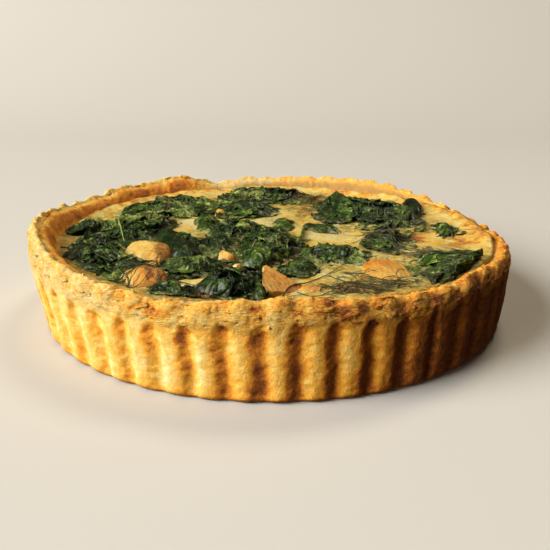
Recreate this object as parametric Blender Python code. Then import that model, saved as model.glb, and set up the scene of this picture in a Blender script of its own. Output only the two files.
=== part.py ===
"""Salmon quiche: a fluted shortcrust case, baked custard to near its brim, and salmon chunks and
clumps of wilted spinach set in the custard's top.

Metres, +Z up. The origin is the middle of the flat underside. Angles around the quiche are counted
in degrees from the front (-Y), rising towards the right (+X).
"""
import math

import bmesh
import bpy
from mathutils import Matrix, Vector, noise

# The case, as it comes out of a 24 cm loose-bottomed fluted tin
RIM_RADIUS = 0.1200  # over the flutes, where the wall meets the rim
FOOT_RADIUS = 0.1164  # over the flutes, just above the rounded bottom edge
EDGE_ROUND = 0.0030  # rounding of the bottom edge
FLUTES = 52
FLUTE_DEPTH = 0.0027
FLUTE_FOOT = 0.35  # how much of their depth the flutes keep at the underside
FLUTE_RIM = 0.45  # and at the rim, where they fade into the plain brim
STEPS_PER_FLUTE = 5
FRONT_GROOVE = -1.6  # degrees, the groove nearest to the front
FLUTE_TOP = 0.0350  # where the flutes' arches end
CREST_INSET = 0.0048  # from the flutes in to the rim's highest line
BRIM_DROP = 0.0045  # from that line down to the brim's outer edge

# The rim is higher on the left than on the right, and it dips and swells
RIM_HEIGHT = 0.0425
RIM_LEAN = 0.0048
RIM_SWELLS = (  # (middle and reach in degrees, rise in metres)
    (-112, 12, -0.0030),
    (-76, 14, 0.0022),
    (-40, 16, -0.0028),
    (-19, 9, -0.0040),
    (7, 9, 0.0018),
    (50, 10, 0.0030),
    (103, 15, -0.0028),
    (150, 24, 0.0046),
    (-162, 6, -0.0036),
    (-149, 7, 0.0026),
)

# Inside the case
INNER_STEPS = 90
FLOOR_HEIGHT = 0.0055
FLOOR_RADIUS = 0.1035
BRIM_INNER_RADIUS = 0.1095  # just inside the rim's crest
CUSTARD_RADIUS = 0.1075  # of the case's inner wall at the custard's level
GAP = 0.0003  # between pieces that touch

# The custard's top
CUSTARD_HEIGHT = 0.0368
CUSTARD_CLIMB = 0.0009  # its edge clings to the pastry
CUSTARD_WAVE = 0.0009  # how far it rises and falls

# Salmon chunks: name, (x, y), (width, depth, rise over the custard), turn in degrees
SALMON = (
    ("large", (-60, -41), (20, 15, 8.5), -8),
    ("left", (-55, -77), (17, 13, 6.0), 12),
    ("small", (-23, -46), (8, 7, 4.0), 20),
    ("peak", (-16, -64), (8, 6, 3.5), -15),
    ("front", (3, -86), (14, 18, 6.0), 18),
    ("right", (46, -65), (18, 14, 6.5), -6),
    ("flat", (18, -83), (11, 8, 1.6), 10),
    ("flake", (33, -87), (12, 8, 1.4), -20),
    ("back", (-33, 44), (8, 6, 3.0), 30),
)
SALMON_SUNK = 0.0070  # how far the chunks reach down into the custard
SMALL_CHUNK = 0.0130  # up to this width a chunk has fewer corners

# Spinach clumps: name, (x, y), (length, width, rise over the custard), turn in degrees
SPINACH = (
    ("left_edge", (-96, 6), (24, 13, 3.5), 78),
    ("left_front", (-86, -36), (46, 21, 4.5), 107),
    ("left_low", (-61, -60), (23, 10, 3.0), -12),
    ("left_back", (-65, 12), (50, 37, 4.0), 75),
    ("back_left", (-62, 60), (62, 24, 4.5), 40),
    ("back", (-5, 84), (56, 23, 4.0), 0),
    ("back_middle", (-10, 55), (32, 16, 3.5), -10),
    ("flap", (-43, -26), (33, 13, 5.0), 110),
    ("inner", (-27, -25), (23, 12, 4.5), 95),
    ("middle", (-20, 4), (27, 23, 4.0), 15),
    ("centre", (-3, -32), (43, 27, 5.5), 82),
    ("band", (33, -38), (36, 12, 3.0), -4),
    ("back_right", (54, 44), (66, 36, 5.5), -28),
    ("right_middle", (58, -13), (22, 15, 2.5), 65),
    ("right_edge", (90, 6), (18, 11, 2.0), 80),
    ("right_front", (78, -49), (56, 24, 5.0), 60),
    ("front", (-21, -86), (27, 23, 6.0), 0),
    ("front_left", (-42, -90), (15, 11, 3.0), -25),
    ("front_middle", (-33, -62), (22, 15, 4.0), 10),
    ("curl", (17, -60), (18, 12, 3.0), 10),
)
SPINACH_SUNK = 0.0040
CLUMP_STEPS = 12  # corners round a clump's outline

MM = 0.001


def around(degrees):
    """The angle folded to within half a turn of the front."""
    return (degrees + 180) % 360 - 180


def place(degrees, radius, height):
    """A point of the quiche from its angle, radius and height."""
    angle = math.radians(degrees)
    return Vector((radius * math.sin(angle), -radius * math.cos(angle), height))


def groove(degrees):
    """1 in the middle of a groove and 0 on a flute. Flutes are broad and grooves are narrow."""
    wave = 0.5 + 0.5 * math.cos(math.radians((degrees - FRONT_GROOVE) * FLUTES))
    return wave**1.4


def rim_height(degrees):
    """Height of the rim's crest: a lean to the right, and swells and dips along it."""
    height = RIM_HEIGHT - RIM_LEAN * math.sin(math.radians(degrees))
    for middle, reach, rise in RIM_SWELLS:
        height += rise * math.exp(-((around(degrees - middle) / reach) ** 2))
    return height


def uneven(x, y, size, seed):
    """Smooth unevenness from -1 to 1, with bumps about as wide as size."""
    return noise.noise(Vector((x / size, y / size, seed)))


def custard_top(x, y):
    """Height of the custard: gentle waves, and an edge that climbs the pastry."""
    edge = min(1.0, math.hypot(x, y) / CUSTARD_RADIUS)
    return CUSTARD_HEIGHT + CUSTARD_WAVE * uneven(x, y, 0.03, 4.0) + CUSTARD_CLIMB * edge**12


def material(name, colour, roughness):
    """A plain Principled material."""
    made = bpy.data.materials.new(name)
    made.use_nodes = True
    shader = made.node_tree.nodes["Principled BSDF"]
    shader.inputs["Base Color"].default_value = (*colour, 1.0)
    shader.inputs["Roughness"].default_value = roughness
    made.diffuse_color = (*colour, 1.0)
    return made


def ring(bm, steps, point):
    """A closed loop of edges whose corner at each angle is point(degrees)."""
    corners = [bm.verts.new(point(360 * step / steps)) for step in range(steps)]
    return [bm.edges.new((corners[step - 1], corners[step])) for step in range(steps)]


def cap(bm, loop):
    """One flat face over a loop."""
    bmesh.ops.contextual_create(bm, geom=loop)


def loft(rings):
    """A closed body through a list of (steps, point) rings, with flat faces over its two ends."""
    bm = bmesh.new()
    loops = [ring(bm, steps, point) for steps, point in rings]
    for lower, upper in zip(loops, loops[1:]):
        bmesh.ops.bridge_loops(bm, edges=lower + upper)
    cap(bm, loops[0])
    cap(bm, loops[-1])
    bmesh.ops.recalc_face_normals(bm, faces=bm.faces)
    return bm


def add_object(name, bm, surface, sharp=40):
    """The named object made of a bmesh, shaded smooth but for its sharp edges."""
    bmesh.ops.triangulate(bm, faces=[face for face in bm.faces if len(face.verts) > 4])
    mesh = bpy.data.meshes.new(name)
    bm.to_mesh(mesh)
    bm.free()
    mesh.shade_smooth()
    mesh.set_sharp_from_angle(angle=math.radians(sharp))
    mesh.materials.append(surface)
    made = bpy.data.objects.new(name, mesh)
    bpy.context.collection.objects.link(made)
    return made


def crust():
    """The pastry case: an underside, a fluted wall, an uneven brim, and the hollow inside."""
    steps = FLUTES * STEPS_PER_FLUTE

    def wall_radius(height):
        share = (height - EDGE_ROUND) / (FLUTE_TOP - EDGE_ROUND)
        return FOOT_RADIUS + (RIM_RADIUS - FOOT_RADIUS) * share

    def outside(radius, height, flute):
        return steps, lambda a: place(a, radius - FLUTE_DEPTH * flute * groove(a), height)

    def brim(inset, drop, flute, count):
        return count, lambda a: place(
            a, RIM_RADIUS - inset - FLUTE_DEPTH * flute * groove(a), rim_height(a) - drop
        )

    def inside(radius, height):
        return INNER_STEPS, lambda a: place(a, radius, height)

    middle = (EDGE_ROUND + FLUTE_TOP) / 2
    rings = [
        outside(FOOT_RADIUS - EDGE_ROUND, 0.0, FLUTE_FOOT),
        outside(FOOT_RADIUS, EDGE_ROUND, 1.0),
        outside(wall_radius(middle), middle, 1.0),
        outside(wall_radius(FLUTE_TOP) - 0.0002, FLUTE_TOP - 0.004, 0.9),
        brim(0.0, BRIM_DROP, FLUTE_RIM, steps),
        brim(CREST_INSET, 0.0, 0.0, INNER_STEPS),
        brim(RIM_RADIUS - BRIM_INNER_RADIUS, 0.0022, 0.0, INNER_STEPS),
        inside(CUSTARD_RADIUS - 0.0012, FLUTE_TOP - 0.010),
        inside(FLOOR_RADIUS + EDGE_ROUND / 2, FLOOR_HEIGHT + EDGE_ROUND),
        inside(FLOOR_RADIUS - EDGE_ROUND / 2, FLOOR_HEIGHT),
    ]
    pastry = material("pastry", (0.72, 0.44, 0.16), 0.75)
    return add_object("crust", loft(rings), pastry)


def salmon_chunk(name, middle, size, turn, surface):
    """A chunk of fish with softened corners, partly sunk in the custard."""
    x, y = (value * MM for value in middle)
    width, depth, rise = (value * MM for value in size)
    bm = bmesh.new()
    bmesh.ops.create_cube(bm, size=1.0)
    cuts = 2 if width > SMALL_CHUNK else 1
    bmesh.ops.subdivide_edges(bm, edges=bm.edges, cuts=cuts, use_grid_fill=True)
    tall = rise + SALMON_SUNK
    for vert in bm.verts:
        ball = vert.co.normalized() * 0.62
        vert.co = vert.co.lerp(ball, 0.45)
        vert.co *= 1 + 0.12 * noise.noise(vert.co * 2.3 + Vector((*middle, 0.0)))
        vert.co = Vector((vert.co.x * width, vert.co.y * depth, vert.co.z * tall))
    bmesh.ops.rotate(bm, verts=bm.verts, matrix=Matrix.Rotation(math.radians(turn), 3, "Z"))
    level = custard_top(x, y) + rise - tall / 2
    bmesh.ops.translate(bm, verts=bm.verts, vec=(x, y, level))
    return add_object(f"salmon_{name}", bm, surface, 60)


def spinach_clump(name, middle, size, turn, surface):
    """A low mound with a lobed outline: three loops of corners between two blunt ends."""
    x, y = (value * MM for value in middle)
    length, width, rise = (value * MM for value in size)
    level = custard_top(x, y)
    seed = middle[0] + 7 * middle[1]

    def loop(reach, height):
        def point(angle):
            way = math.radians(angle)
            lobes = 1 + 0.08 * math.sin(3 * way + seed) + 0.05 * math.sin(5 * way + 2 * seed)
            along = 0.5 * length * reach * lobes * math.cos(way)
            across = 0.5 * width * reach * lobes * math.sin(way)
            bump = 0.25 * rise * uneven(along, across, 0.012, seed) if height > 0 else 0.0
            return Vector((along, across, height + bump))

        return CLUMP_STEPS, point

    bm = loft([loop(0.60, -SPINACH_SUNK), loop(1.00, 0.0), loop(0.92, 0.55 * rise), loop(0.45, rise)])
    bmesh.ops.rotate(bm, verts=bm.verts, matrix=Matrix.Rotation(math.radians(turn), 3, "Z"))
    bmesh.ops.translate(bm, verts=bm.verts, vec=(x, y, level))
    return add_object(f"spinach_{name}", bm, surface, 60)


def pocket_cutter(toppings):
    """All toppings in one mesh, each grown a little past the gap, to cut their beds."""
    bm = bmesh.new()
    for topping in toppings:
        bm.from_mesh(topping.data)
    bm.normal_update()
    grown = {vert: vert.co + vert.normal * (GAP * 1.5) for vert in bm.verts}
    for vert, place_now in grown.items():
        vert.co = place_now
    mesh = bpy.data.meshes.new("topping_beds")
    bm.to_mesh(mesh)
    bm.free()
    cutter = bpy.data.objects.new("topping_beds", mesh)
    bpy.context.collection.objects.link(cutter)
    cutter.hide_render = True
    cutter.display_type = "WIRE"
    return cutter


def filling(toppings):
    """The baked custard: it fills the case up to its wavy top, with a bed for each topping."""

    def side(radius, height):
        return INNER_STEPS, lambda a: place(a, radius - GAP, height)

    def top(radius, steps):
        def point(angle):
            spot = place(angle, radius, 0.0)
            return Vector((spot.x, spot.y, custard_top(spot.x, spot.y)))

        return steps, point

    rings = [
        side(FLOOR_RADIUS - EDGE_ROUND / 2 - GAP, FLOOR_HEIGHT + GAP),
        side(FLOOR_RADIUS + EDGE_ROUND / 2 - GAP, FLOOR_HEIGHT + EDGE_ROUND + GAP),
        side(CUSTARD_RADIUS - 0.0012 - GAP, FLUTE_TOP - 0.010),
        top(CUSTARD_RADIUS - 0.0015, INNER_STEPS),
        top(CUSTARD_RADIUS * 0.90, INNER_STEPS // 2),
        top(CUSTARD_RADIUS * 0.72, INNER_STEPS // 2),
        top(CUSTARD_RADIUS * 0.50, INNER_STEPS // 3),
        top(CUSTARD_RADIUS * 0.25, INNER_STEPS // 3),
    ]
    custard = material("custard", (0.80, 0.66, 0.30), 0.55)
    made = add_object("filling", loft(rings), custard)
    beds = made.modifiers.new("beds", "BOOLEAN")
    beds.operation = "DIFFERENCE"
    beds.object = pocket_cutter(toppings)
    return made


def main():
    for old in list(bpy.data.objects):
        bpy.data.objects.remove(old)
    crust()
    fish = material("salmon", (0.78, 0.42, 0.24), 0.5)
    leaf = material("spinach", (0.03, 0.08, 0.02), 0.45)
    toppings = [salmon_chunk(*entry, fish) for entry in SALMON]
    toppings += [spinach_clump(*entry, leaf) for entry in SPINACH]
    filling(toppings)


main()
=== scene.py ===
import math

import bpy
import numpy as np
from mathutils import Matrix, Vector
from mathutils.bvhtree import BVHTree


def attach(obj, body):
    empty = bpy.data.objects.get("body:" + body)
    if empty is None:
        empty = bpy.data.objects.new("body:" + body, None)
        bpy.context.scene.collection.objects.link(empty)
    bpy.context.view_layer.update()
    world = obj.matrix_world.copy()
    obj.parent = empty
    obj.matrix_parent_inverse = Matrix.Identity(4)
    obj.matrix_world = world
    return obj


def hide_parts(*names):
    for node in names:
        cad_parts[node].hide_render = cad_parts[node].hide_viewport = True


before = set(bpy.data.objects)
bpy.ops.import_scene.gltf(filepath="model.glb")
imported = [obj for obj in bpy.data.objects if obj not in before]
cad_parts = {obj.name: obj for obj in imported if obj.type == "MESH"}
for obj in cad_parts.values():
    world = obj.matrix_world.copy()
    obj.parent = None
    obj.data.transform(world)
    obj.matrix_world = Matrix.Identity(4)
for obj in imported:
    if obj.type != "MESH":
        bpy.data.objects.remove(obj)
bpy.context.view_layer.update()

# A deep salmon and spinach quiche in a fluted shortcrust case. Metres, +Z up, with the origin in
# the middle of the flat underside. Angles round the quiche are in degrees from the front (-Y),
# rising towards the right (+X).

# ------------------------------------------------------------------------------------------
# The studio: a pale floor swept up behind, one big soft lamp low on the left like a window, two
# weak soft lamps in front and overhead, and the camera at the photograph's height and distance.
CAMERA_PLACE = (0.001, -0.3635, 0.1375)
CAMERA_TILT = 71.21
LENS = 47.17
LAMPS = (  # name, turn to the left of the front, rise, distance, size, watts, colour
    ("window_lamp", 66, 34, 4.0, 2.6, 305, (1.0, 0.96, 0.89)),
    ("front_lamp", 46, 14, 4.0, 2.0, 52, (1.0, 0.88, 0.68)),
    ("ceiling_lamp", 213, 60, 4.0, 1.4, 72, (1.0, 0.84, 0.60)),
)
ROOM_LIGHT = (1.0, 0.70, 0.47)
ROOM_STRENGTH = 0.05
BACKDROP_COLOUR = (0.66, 0.65, 0.63)
FLOOR_COLOUR = (0.50, 0.495, 0.48)
FLOOR_SIZE = 6.0
FLOOR_MIDDLE = (0, -1.2, 0)
SWEEP_HEIGHT = 2.5
SWEEP_RADIUS = 1.2

bpy.ops.object.camera_add(location=CAMERA_PLACE, rotation=(math.radians(CAMERA_TILT), 0, 0))
camera = bpy.context.object
camera.name = "camera"
camera.data.lens = LENS
camera.data.sensor_width = 36
camera.data.clip_start = 0.01
bpy.context.scene.camera = camera
bpy.context.scene.view_settings.view_transform = "Standard"

for name, turn, rise, away, size, watts, colour in LAMPS:
    turn, rise = math.radians(turn), math.radians(rise)
    way = Vector(
        (-math.sin(turn) * math.cos(rise), -math.cos(turn) * math.cos(rise), math.sin(rise))
    )
    bpy.ops.object.light_add(
        type="AREA", location=way * away, rotation=way.to_track_quat("Z", "Y").to_euler()
    )
    lamp = bpy.context.object
    lamp.name = name
    lamp.data.shape = "DISK"
    lamp.data.size = size
    lamp.data.energy = watts
    lamp.data.color = colour

room = bpy.data.worlds.new("room")
room.use_nodes = True
bpy.context.scene.world = room
room_nodes, room_links = room.node_tree.nodes, room.node_tree.links
room_light = room_nodes["Background"]
room_light.inputs["Color"].default_value = (*ROOM_LIGHT, 1)
room_light.inputs["Strength"].default_value = ROOM_STRENGTH
backdrop = room_nodes.new("ShaderNodeBackground")
backdrop.inputs["Color"].default_value = (*BACKDROP_COLOUR, 1)
seen = room_nodes.new("ShaderNodeLightPath")
either = room_nodes.new("ShaderNodeMixShader")
room_links.new(seen.outputs["Is Camera Ray"], either.inputs["Fac"])
room_links.new(room_light.outputs["Background"], either.inputs[1])
room_links.new(backdrop.outputs["Background"], either.inputs[2])
room_links.new(either.outputs["Shader"], room_nodes["World Output"].inputs["Surface"])

bpy.ops.object.select_all(action="DESELECT")
bpy.ops.mesh.primitive_plane_add(size=FLOOR_SIZE, location=FLOOR_MIDDLE)
floor = bpy.context.object
bpy.ops.object.transform_apply(location=True)
bpy.ops.object.mode_set(mode="EDIT")
bpy.ops.mesh.select_all(action="DESELECT")
bpy.ops.object.mode_set(mode="OBJECT")
for edge in floor.data.edges:
    edge.select = all(floor.data.vertices[corner].co.y > 1 for corner in edge.vertices)
bpy.ops.object.mode_set(mode="EDIT")
bpy.ops.mesh.select_mode(type="EDGE")
bpy.ops.mesh.extrude_region_move(TRANSFORM_OT_translate={"value": (0, 0, SWEEP_HEIGHT)})
bpy.ops.object.mode_set(mode="OBJECT")
sweep = floor.modifiers.new("sweep", "BEVEL")
sweep.width = SWEEP_RADIUS
sweep.segments = 24
sweep.limit_method = "ANGLE"
bpy.ops.object.modifier_apply(modifier="sweep")
bpy.ops.object.shade_smooth()
floor.name = "floor"
floor_finish = bpy.data.materials.new("pale floor")
floor_finish.use_nodes = True
floor_shader = floor_finish.node_tree.nodes["Principled BSDF"]
floor_shader.inputs["Base Color"].default_value = (*FLOOR_COLOUR, 1)
floor_shader.inputs["Roughness"].default_value = 0.8
floor.data.materials.append(floor_finish)
floor.visible_diffuse = False
floor.visible_glossy = False

# ------------------------------------------------------------------------------------------
# The pastry case. Shortcrust pressed into a fluted mould and baked: a flat base, a wall with 52
# flutes that end in arches, and above them a thick rim left rough where it was trimmed. The
# grooves are browner than the broad ridges between them, and painted shade darkens the wall's
# right side, the shaded side of each groove and the places under the rim.
MM = 0.001
FLUTES = 52
STEPS_ROUND = 20 * FLUTES
CASE_STEP = 0.69 * MM
SAME_PLACE = 0.01 * MM
MERGE_WITHIN = 0.05 * MM
GROOVE_DEPTH = 1.9 * MM
GROOVE_SHARE = 0.94  # of the way from one ridge to the next
FRONT_GROOVE = -1.6  # degrees, the groove nearest to the front
ARCH_TOP = 33.0 * MM
ARCH_SPREAD = 0.9 * MM
ARCH_DROP = 9 * MM  # from the top of an arch to its feet
OUTER_WALL = (112.5 * MM, 114 * MM)  # the inside of the case turns into its outside here
WALL_REACH = 118 * MM
LAYER_LONG = 5.5 * MM
LAYER_THICK = 1.35 * MM
FIRST_ARCH = -6  # the arches that show best, from this groove on, in mm above the base
FRONT_ARCHES = (32.1, 32.0, 32.1, 32.1, 32.3, 34.8, 33.5, 34.6, 35.4, 34.7, 33.6, 32.7, 33.0, 33.0)
RIM_HEIGHT = 42.5 * MM
RIM_LEAN = 4.8 * MM
RIM_WAVE = 1.6 * MM  # how far the rim dips over each ridge
RIDGE_SUNK = 1.0 * MM  # how far the rim is drawn in over each ridge
FLARE = 1.0 * MM
LEFT_FLARE = 1.1 * MM
RIM_SWELLS = (  # (middle and reach in degrees, rise in mm)
    (-112, 12, -3.0), (-76, 14, 2.2), (-40, 16, -2.8), (-19, 9, -4.0), (7, 9, 1.8),
    (50, 10, 3.0), (103, 15, -2.8), (150, 24, 4.6), (-162, 6, -3.6), (-149, 7, 2.6),
)
RIM_FREE = 31 * MM  # above this the case stretches up and down with its rim
CASE_OUTLINE = (  # mm from the axis, mm above the base, from the underside over the rim
    (113.0, 0.0), (114.4, 0.2), (115.5, 0.8), (116.2, 1.9), (116.5, 3.2), (118.3, 18.0),
    (119.4, 30.0), (119.7, 33.0), (119.7, 35.6), (119.5, 37.8), (118.9, 39.8), (117.9, 41.5),
    (116.7, 42.5), (115.4, 42.6), (114.0, 41.9), (112.4, 41.0), (110.9, 39.8), (109.6, 38.2),
    (108.6, 36.2), (107.8, 34.0), (107.2, 31.0),
)
CASE_INSIDE = ((105.5, 10.0), (102.0, 5.5))  # the same, from there down to the floor inside
CRUST_COLOURS = (  # from pale to nearly burnt
    (0.00, (0.90, 0.73, 0.345)), (0.20, (0.92, 0.585, 0.130)), (0.42, (0.93, 0.43, 0.038)),
    (0.60, (0.74, 0.250, 0.024)), (0.80, (0.37, 0.116, 0.026)), (1.00, (0.15, 0.040, 0.012)),
)
# The inner wall's darker colour: moist with custard, and painted shade under the rim
MOIST_SHADED_CRUST = (0.29, 0.180, 0.050)
MOST_BROWNED = 0.78
SPOT_BROWNED = 0.40
RIM_SPOTS = (  # red-brown baked spots: degrees, mm from the axis, width in mm
    (-29.4, 117, 5.0), (-27.0, 119, 3.5), (-22.6, 119, 6.5), (-20.2, 118, 4.0), (-2.5, 118.5, 5.0),
    (4.6, 119, 3.5), (10.8, 115.5, 5.5), (13.0, 119, 6.0), (16.0, 118, 4.5), (24.0, 119, 5.0),
    (33.3, 118.5, 6.5), (39.0, 119.5, 6.0), (46.5, 119, 6.5), (52.0, 117.5, 4.5), (86.0, 119, 5.0),
    (91.0, 118.5, 6.5), (100.0, 118, 5.0), (108.0, 117.5, 6.0), (-95.0, 119, 3.5),
    (-120.0, 118, 5.0), (-150.0, 117, 7.0), (176.0, 118, 5.5), (150.0, 119, 5.0),
    (132.0, 117, 6.0), (-170.0, 118, 6.0),
)


def in_edit_mode(action="DESELECT"):
    """Edit mode on the active piece, with nothing selected, or all of it."""
    bpy.ops.object.mode_set(mode="EDIT")
    bpy.ops.mesh.select_mode(type="VERT")
    bpy.ops.mesh.select_all(action=action)


def pick_corners(piece, chosen):
    """Edit mode on the active piece, with only the chosen corners selected."""
    in_edit_mode()
    bpy.ops.object.mode_set(mode="OBJECT")
    piece.data.vertices.foreach_set("select", chosen)
    bpy.ops.object.mode_set(mode="EDIT")
    bpy.ops.mesh.select_mode(type="VERT")


def places_of(piece):
    """The corners of a piece, one row each."""
    places = np.empty(len(piece.data.vertices) * 3, np.float32)
    piece.data.vertices.foreach_get("co", places)
    return places.reshape(-1, 3).astype(float)


def press_into_place(piece, places):
    """Moves the corners of a piece."""
    piece.data.vertices.foreach_set("co", places.astype(np.float32).ravel())
    piece.data.update()


def outward(piece):
    """The way each corner of a piece faces."""
    ways = np.empty(len(piece.data.vertices) * 3, np.float32)
    piece.data.vertex_normals.foreach_get("vector", ways)
    return ways.reshape(-1, 3).astype(float)


SLOPES = np.random.default_rng(7).normal(size=(4096, 3))
SLOPES /= np.linalg.norm(SLOPES, axis=1)[:, None]


def lumps(places, size, batch=0):
    """Smooth unevenness from about -1 to 1, with lumps about as wide as size."""
    spot = np.asarray(places) / size + np.array((17.3, 31.7, 5.1)) * (batch + 1)
    cell = np.floor(spot).astype(np.int64)
    part = spot - cell
    ease = part**3 * (part * (part * 6 - 15) + 10)
    total = np.zeros(len(spot))
    for corner in np.ndindex(2, 2, 2):
        at = cell + corner
        pick = (at[:, 0] * 73856093 ^ at[:, 1] * 19349663 ^ at[:, 2] * 83492791) & 4095
        share = np.where(np.array(corner, bool), ease, 1 - ease).prod(1)
        total += (SLOPES[pick] * (part - corner)).sum(1) * share
    return total * 1.7


def eased(low, high, value):
    """0 below low, 1 above high, and a soft step between."""
    share = np.clip((value - low) / (high - low), 0, 1)
    return share * share * (3 - 2 * share)


def out_at(degrees):
    """The level way out from the axis at an angle round the quiche."""
    way = math.radians(degrees)
    return np.array((math.sin(way), -math.cos(way), 0))


def rim_height(degrees):
    height = RIM_HEIGHT - RIM_LEAN * np.sin(np.radians(degrees))
    for middle, reach, swell in RIM_SWELLS:
        off = (degrees - middle + 180) % 360 - 180
        height = height + swell * MM * np.exp(-((off / reach) ** 2))
    return height


def drawn_through(corners, step):
    """A line through the corners with its bends eased, as points about a step apart."""
    corners = np.array(corners, float) * MM
    along = np.append(0, np.cumsum(np.linalg.norm(np.diff(corners, axis=0), axis=1)))
    fine = np.linspace(0, along[-1], 600)
    line = np.stack([np.interp(fine, along, corners[:, side]) for side in (0, 1)], 1)
    for _ in range(60):
        line[1:-1] = (line[:-2] + line[2:]) / 2
    return line[np.linspace(0, 599, round(along[-1] / step) + 1).round().astype(int)]


def note(piece, name, values):
    """Keeps one number for each corner of a piece, which its material reads by name."""
    kept = piece.data.attributes.new(name, "FLOAT", "POINT")
    kept.data.foreach_set("value", np.asarray(values, np.float32))


# The case's section is drawn point by point and turned once round the axis, like clay on a wheel
section = drawn_through(CASE_OUTLINE, CASE_STEP)
bpy.ops.object.select_all(action="DESELECT")
bpy.ops.mesh.primitive_plane_add(size=MM, location=(section[0][0], 0, section[0][1]))
case = bpy.context.object
case.name = "pastry_case"
bpy.ops.object.transform_apply(location=True)
in_edit_mode("SELECT")
bpy.ops.mesh.merge(type="CENTER")
for here, there in zip(section, section[1:]):
    step = (there[0] - here[0], 0, there[1] - here[1])
    bpy.ops.mesh.extrude_region_move(TRANSFORM_OT_translate={"value": step})
bpy.ops.object.mode_set(mode="OBJECT")
wheel = case.modifiers.new("wheel", "SCREW")
wheel.steps = wheel.render_steps = STEPS_ROUND
wheel.use_merge_vertices = True
wheel.merge_threshold = MERGE_WITHIN
bpy.ops.object.modifier_apply(modifier="wheel")

# The underside is one flat face, and inside the wall goes down to the floor under the custard
corner_places = places_of(case)
pick_corners(case, corner_places[:, 2] < SAME_PLACE)
bpy.ops.mesh.edge_face_add()
inner_edge = section[-1]
corner_reach = np.hypot(corner_places[:, 0], corner_places[:, 1])
pick_corners(case, corner_reach < inner_edge[0] + SAME_PLACE)
reach, height = inner_edge
for new_reach, new_height in CASE_INSIDE:
    new_reach, new_height = new_reach * MM, new_height * MM
    share = new_reach / reach
    down = (0, 0, new_height - height)
    bpy.ops.mesh.extrude_region_move(TRANSFORM_OT_translate={"value": down})
    bpy.ops.transform.resize(value=(share, share, 1), center_override=(0, 0, 0))
    reach, height = new_reach, new_height
bpy.ops.mesh.edge_face_add()
bpy.ops.mesh.select_all(action="SELECT")
bpy.ops.mesh.normals_make_consistent(inside=False)
bpy.ops.object.mode_set(mode="OBJECT")

# The flutes, the rim's lean and its swells
spots = places_of(case)
angle = np.degrees(np.arctan2(spots[:, 0], -spots[:, 1]))
reach = np.hypot(spots[:, 0], spots[:, 1])
height = spots[:, 2].copy()
flute_way = ((angle - FRONT_GROOVE) * FLUTES + 180) % 360 - 180
flute_way = flute_way + 12 * lumps(spots, 11 * MM, 1) + 14 * lumps(spots, 4.5 * MM, 2)
flute_way = flute_way + 12 * lumps(spots, 2.0 * MM, 18)
flute_number = np.round((angle - FRONT_GROOVE) * FLUTES / 360).astype(int) % FLUTES
flute_chance = np.random.default_rng(3).normal(size=(3, FLUTES))
arches = ARCH_TOP + flute_chance[0] * ARCH_SPREAD
for number, arch_height in enumerate(FRONT_ARCHES):
    arches[(FIRST_ARCH + number) % FLUTES] = arch_height * MM
groove_width = 1 + 0.12 * flute_chance[1][flute_number]
groove_depth = 1 + 0.12 * flute_chance[2][flute_number]
off_groove = np.abs(flute_way) / 180 / groove_width
groove = (0.5 + 0.5 * np.cos(np.pi * np.clip(off_groove / GROOVE_SHARE, 0, 1))) ** 1.5
arch = arches[flute_number] - ARCH_DROP * off_groove**2
ragged = 1.3 * MM * lumps(spots, 4 * MM, 3) + 0.7 * MM * lumps(spots, 1.8 * MM, 19)
groove_reach = 1 - eased(arch - 3.6 * MM, arch + 1.4 * MM, height + ragged)
groove_reach = groove_reach * (0.45 + 0.55 * eased(0, 4 * MM, height))
groove_reach = groove_reach * (1 - 0.25 * eased(0.1, 0.8, lumps(spots, 9 * MM, 27)))
outside = eased(*OUTER_WALL, reach)
sink = GROOVE_DEPTH * groove_depth * groove * groove_reach * outside
ridge = np.cos(np.radians(flute_way / 2)) ** 2
at_rim = eased(35 * MM, 39.5 * MM, height) * eased(113 * MM, 118 * MM, reach)
sink = sink + RIDGE_SUNK * ridge * at_rim
spots[:, 0] *= 1 - sink / reach
spots[:, 1] *= 1 - sink / reach
free = np.clip(height - RIM_FREE, 0, None) / (RIM_HEIGHT - RIM_FREE)
own_rim = rim_height(angle) - RIM_HEIGHT
along_rim = np.stack([spots[:, 0], spots[:, 1], np.zeros(len(angle))], 1)
own_rim += 0.7 * MM * lumps(along_rim, 9 * MM, 4) + 0.5 * MM * lumps(along_rim, 3.5 * MM, 5)
spots[:, 2] += own_rim * free
spots[:, 2] += RIM_WAVE * (1 - ridge) * at_rim
flare = eased(10 * MM, 40 * MM, height) * outside
spots[:, 0] -= flare * (FLARE + LEFT_FLARE * np.exp(-(((angle + 80) / 45) ** 2)))
press_into_place(case, spots)

# The crumb: lumps, pits and grains all over, and torn layers along the rim
facing = outward(case)
under_custard = (reach < 108 * MM) & (height < 32 * MM)
rough = eased(0.3 * MM, 2 * MM, height) * (1 - under_custard)
rim_band = eased(31.5 * MM, 36.5 * MM, height + 1.8 * MM * lumps(spots, 6 * MM, 32))
outer_rim = rim_band * eased(112 * MM, 116 * MM, reach)
coarse = lumps(spots, 8 * MM, 6)
middling = lumps(spots, 3.2 * MM, 7)
fine = lumps(spots, 1.6 * MM, 8)
pits = eased(0.50, 0.8, lumps(spots, 2.2 * MM, 9)) * eased(-0.1, 0.5, lumps(spots, 9 * MM, 10))
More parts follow.
